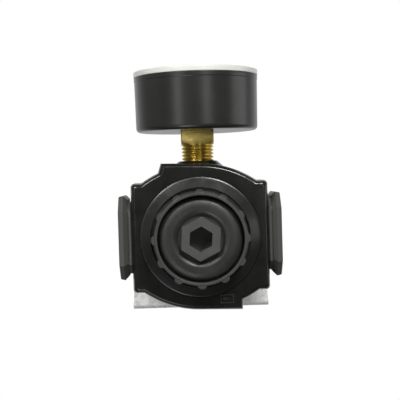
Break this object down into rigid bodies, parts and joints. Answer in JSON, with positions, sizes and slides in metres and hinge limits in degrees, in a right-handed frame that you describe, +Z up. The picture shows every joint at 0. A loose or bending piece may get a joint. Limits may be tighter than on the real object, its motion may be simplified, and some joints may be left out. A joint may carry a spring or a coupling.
{
  "type": "gas pressure regulator",
  "caption": "Modular compressed-gas pressure regulator with ribbed bottom plug, dovetail port flanges, centre-back dial gauge, adjusting knob and sheet-steel wall bracket.",
  "frame": {"origin": "middle of the two wall slots, on the bracket face that lies against the wall", "axes": "+Y into the wall, away from the gauge; +X along the ports from inlet to outlet; +Z up along the valve axis towards the knob"},
  "size_m": [0.066, 0.1038, 0.101],
  "materials": {
    "black_casting": "satin black paint on die-cast metal",
    "black_moulding": "fine-textured moulded plastic",
    "black_rubber": "matt",
    "brass": "turned and milled",
    "bronze_tube": "drawn",
    "spring_steel": "drawn wire",
    "aluminium": "turned",
    "plated_steel": "zinc plated",
    "galvanised_sheet": "galvanised sheet",
    "black_gauge_case": "satin moulded plastic",
    "white_dial": "printed",
    "pointer_black": "matt",
    "clear_lens": "clear moulded plastic"
  },
  "bodies": {
    "housing": {"body": "black_casting", "bottom_plug": "black_moulding", "plug_o_ring": "black_rubber", "valve_spring": "spring_steel", "valve_seat": "brass", "diaphragm": "black_rubber", "bonnet": "black_moulding", "adjusting_spring": "spring_steel", "thrust_washer": "plated_steel", "panel_nut": "black_moulding", "bracket": "galvanised_sheet", "rear_port_plug": "plated_steel", "gauge_stem": "brass", "gauge_case": "black_gauge_case", "gauge_case_screws": "plated_steel", "bourdon_tube": "bronze_tube", "tube_tip": "brass", "movement_back_plate": "brass", "movement_front_plate": "brass", "movement_pillars": "brass", "hairspring": "bronze_tube", "hairspring_stud": "brass", "dial": "white_dial", "dial_stop_pin": "plated_steel", "lens": "clear_lens"},
    "screw": {"adjusting_screw": "plated_steel", "knob_screw": "plated_steel"},
    "knob": {"knob": "black_moulding", "knob_cap": "black_moulding"},
    "nut": {"adjusting_nut": "brass"},
    "diaphragm_centre": {"diaphragm_plate": "aluminium", "relief_seat": "brass"},
    "valve": {"valve_poppet": "brass", "valve_seal": "black_rubber", "poppet_o_ring": "black_rubber"},
    "pointer": {"pointer": "pointer_black", "pinion_arbor": "brass"},
    "sector": {"sector_gear": "brass"},
    "link": {"link": "brass"}
  },
  "joints": [
    {"name": "screw_turn", "type": "hinge", "parent": "housing", "child": "screw", "pos_m": [0, -0.0358, -0.013], "axis": [0, 0, -1], "range_deg": [0, 1800]},
    {"name": "knob_pull", "type": "slide", "parent": "screw", "child": "knob", "axis": [0, 0, 1], "range_m": [0, 0.003]},
    {"name": "nut_travel", "type": "slide", "parent": "housing", "child": "nut", "axis": [0, 0, -1], "range_m": [0, 0.0075], "deforming": ["adjusting_spring"]},
    {"name": "diaphragm_stroke", "type": "slide", "parent": "housing", "child": "diaphragm_centre", "axis": [0, 0, -1], "range_m": [0, 0.0015], "stiffness_N_per_m": 1500, "springref_m": -0.0004, "deforming": ["diaphragm"]},
    {"name": "valve_stroke", "type": "slide", "parent": "housing", "child": "valve", "axis": [0, 0, -1], "range_m": [0, 0.0015], "stiffness_N_per_m": 1500, "springref_m": -0.0015, "deforming": ["valve_spring"]},
    {"name": "pointer_turn", "type": "hinge", "parent": "housing", "child": "pointer", "pos_m": [0, -0.0958, -0.057], "axis": [0, 1, 0], "range_deg": [0, 270], "stiffness_Nm_per_rad": 0.0002, "springref_deg": -34.38},
    {"name": "sector_turn", "type": "hinge", "parent": "housing", "child": "sector", "pos_m": [0, -0.0918, -0.067], "axis": [0, 1, 0], "range_deg": [-45.01, 0.01]},
    {"name": "link_turn", "type": "hinge", "parent": "sector", "child": "link", "pos_m": [-0.00134, -0.0908, -0.07023], "axis": [0, 1, 0], "range_deg": [-0.01, 45.01]}
  ],
  "couplings": [
    {"joint": "nut_travel", "follows": "screw_turn", "m_per_rad": 0.00023873},
    {"joint": "valve_stroke", "follows": "diaphragm_stroke", "ratio": 1},
    {"joint": "sector_turn", "follows": "pointer_turn", "ratio": -0.16667},
    {"joint": "link_turn", "follows": "pointer_turn", "ratio": 0.16667}
  ]
}
